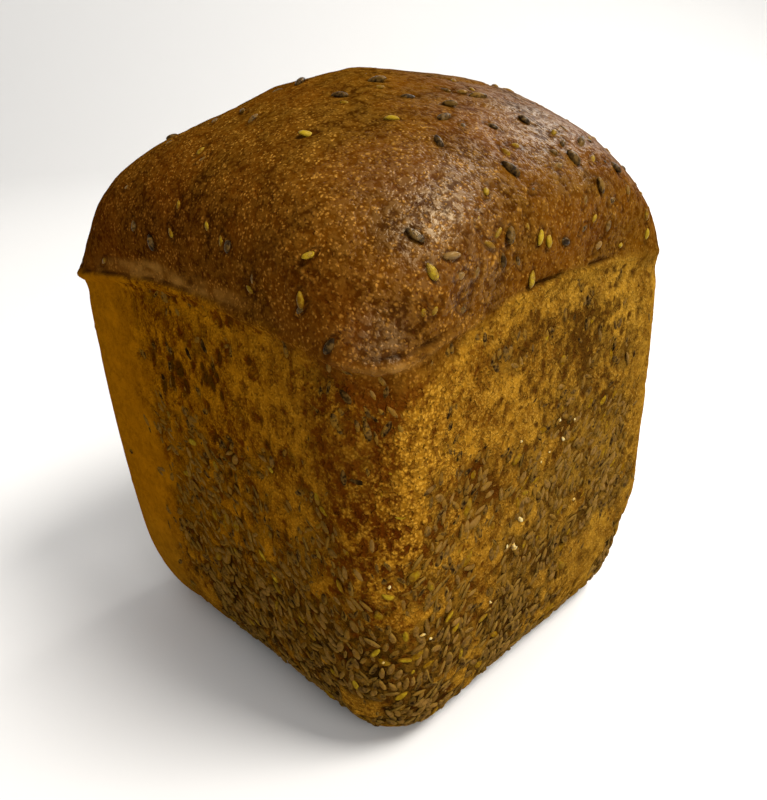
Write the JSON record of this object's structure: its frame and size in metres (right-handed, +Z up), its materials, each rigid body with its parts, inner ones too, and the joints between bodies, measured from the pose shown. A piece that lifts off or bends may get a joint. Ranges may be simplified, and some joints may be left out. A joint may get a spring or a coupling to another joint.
{
  "type": "tin loaf of wheat rye bread with flax seeds",
  "caption": "Whole square tin loaf: tapered walls with a rounded heel, a domed crown with an overhanging rim, and flax seeds baked into the crust.",
  "frame": {"origin": "middle of the flat base the loaf stands on", "axes": "+Z up, +X and +Y out of the middles of two neighbouring walls; the loaf is seen in the picture with its +X wall on the right and its -Y wall on the left"},
  "size_m": [0.1204, 0.1122, 0.1501],
  "materials": {
    "crust": "baked crust, dull on the walls and slightly glossy on the crown"
  },
  "bodies": {
    "root": {"loaf": "crust"}
  },
  "joints": []
}
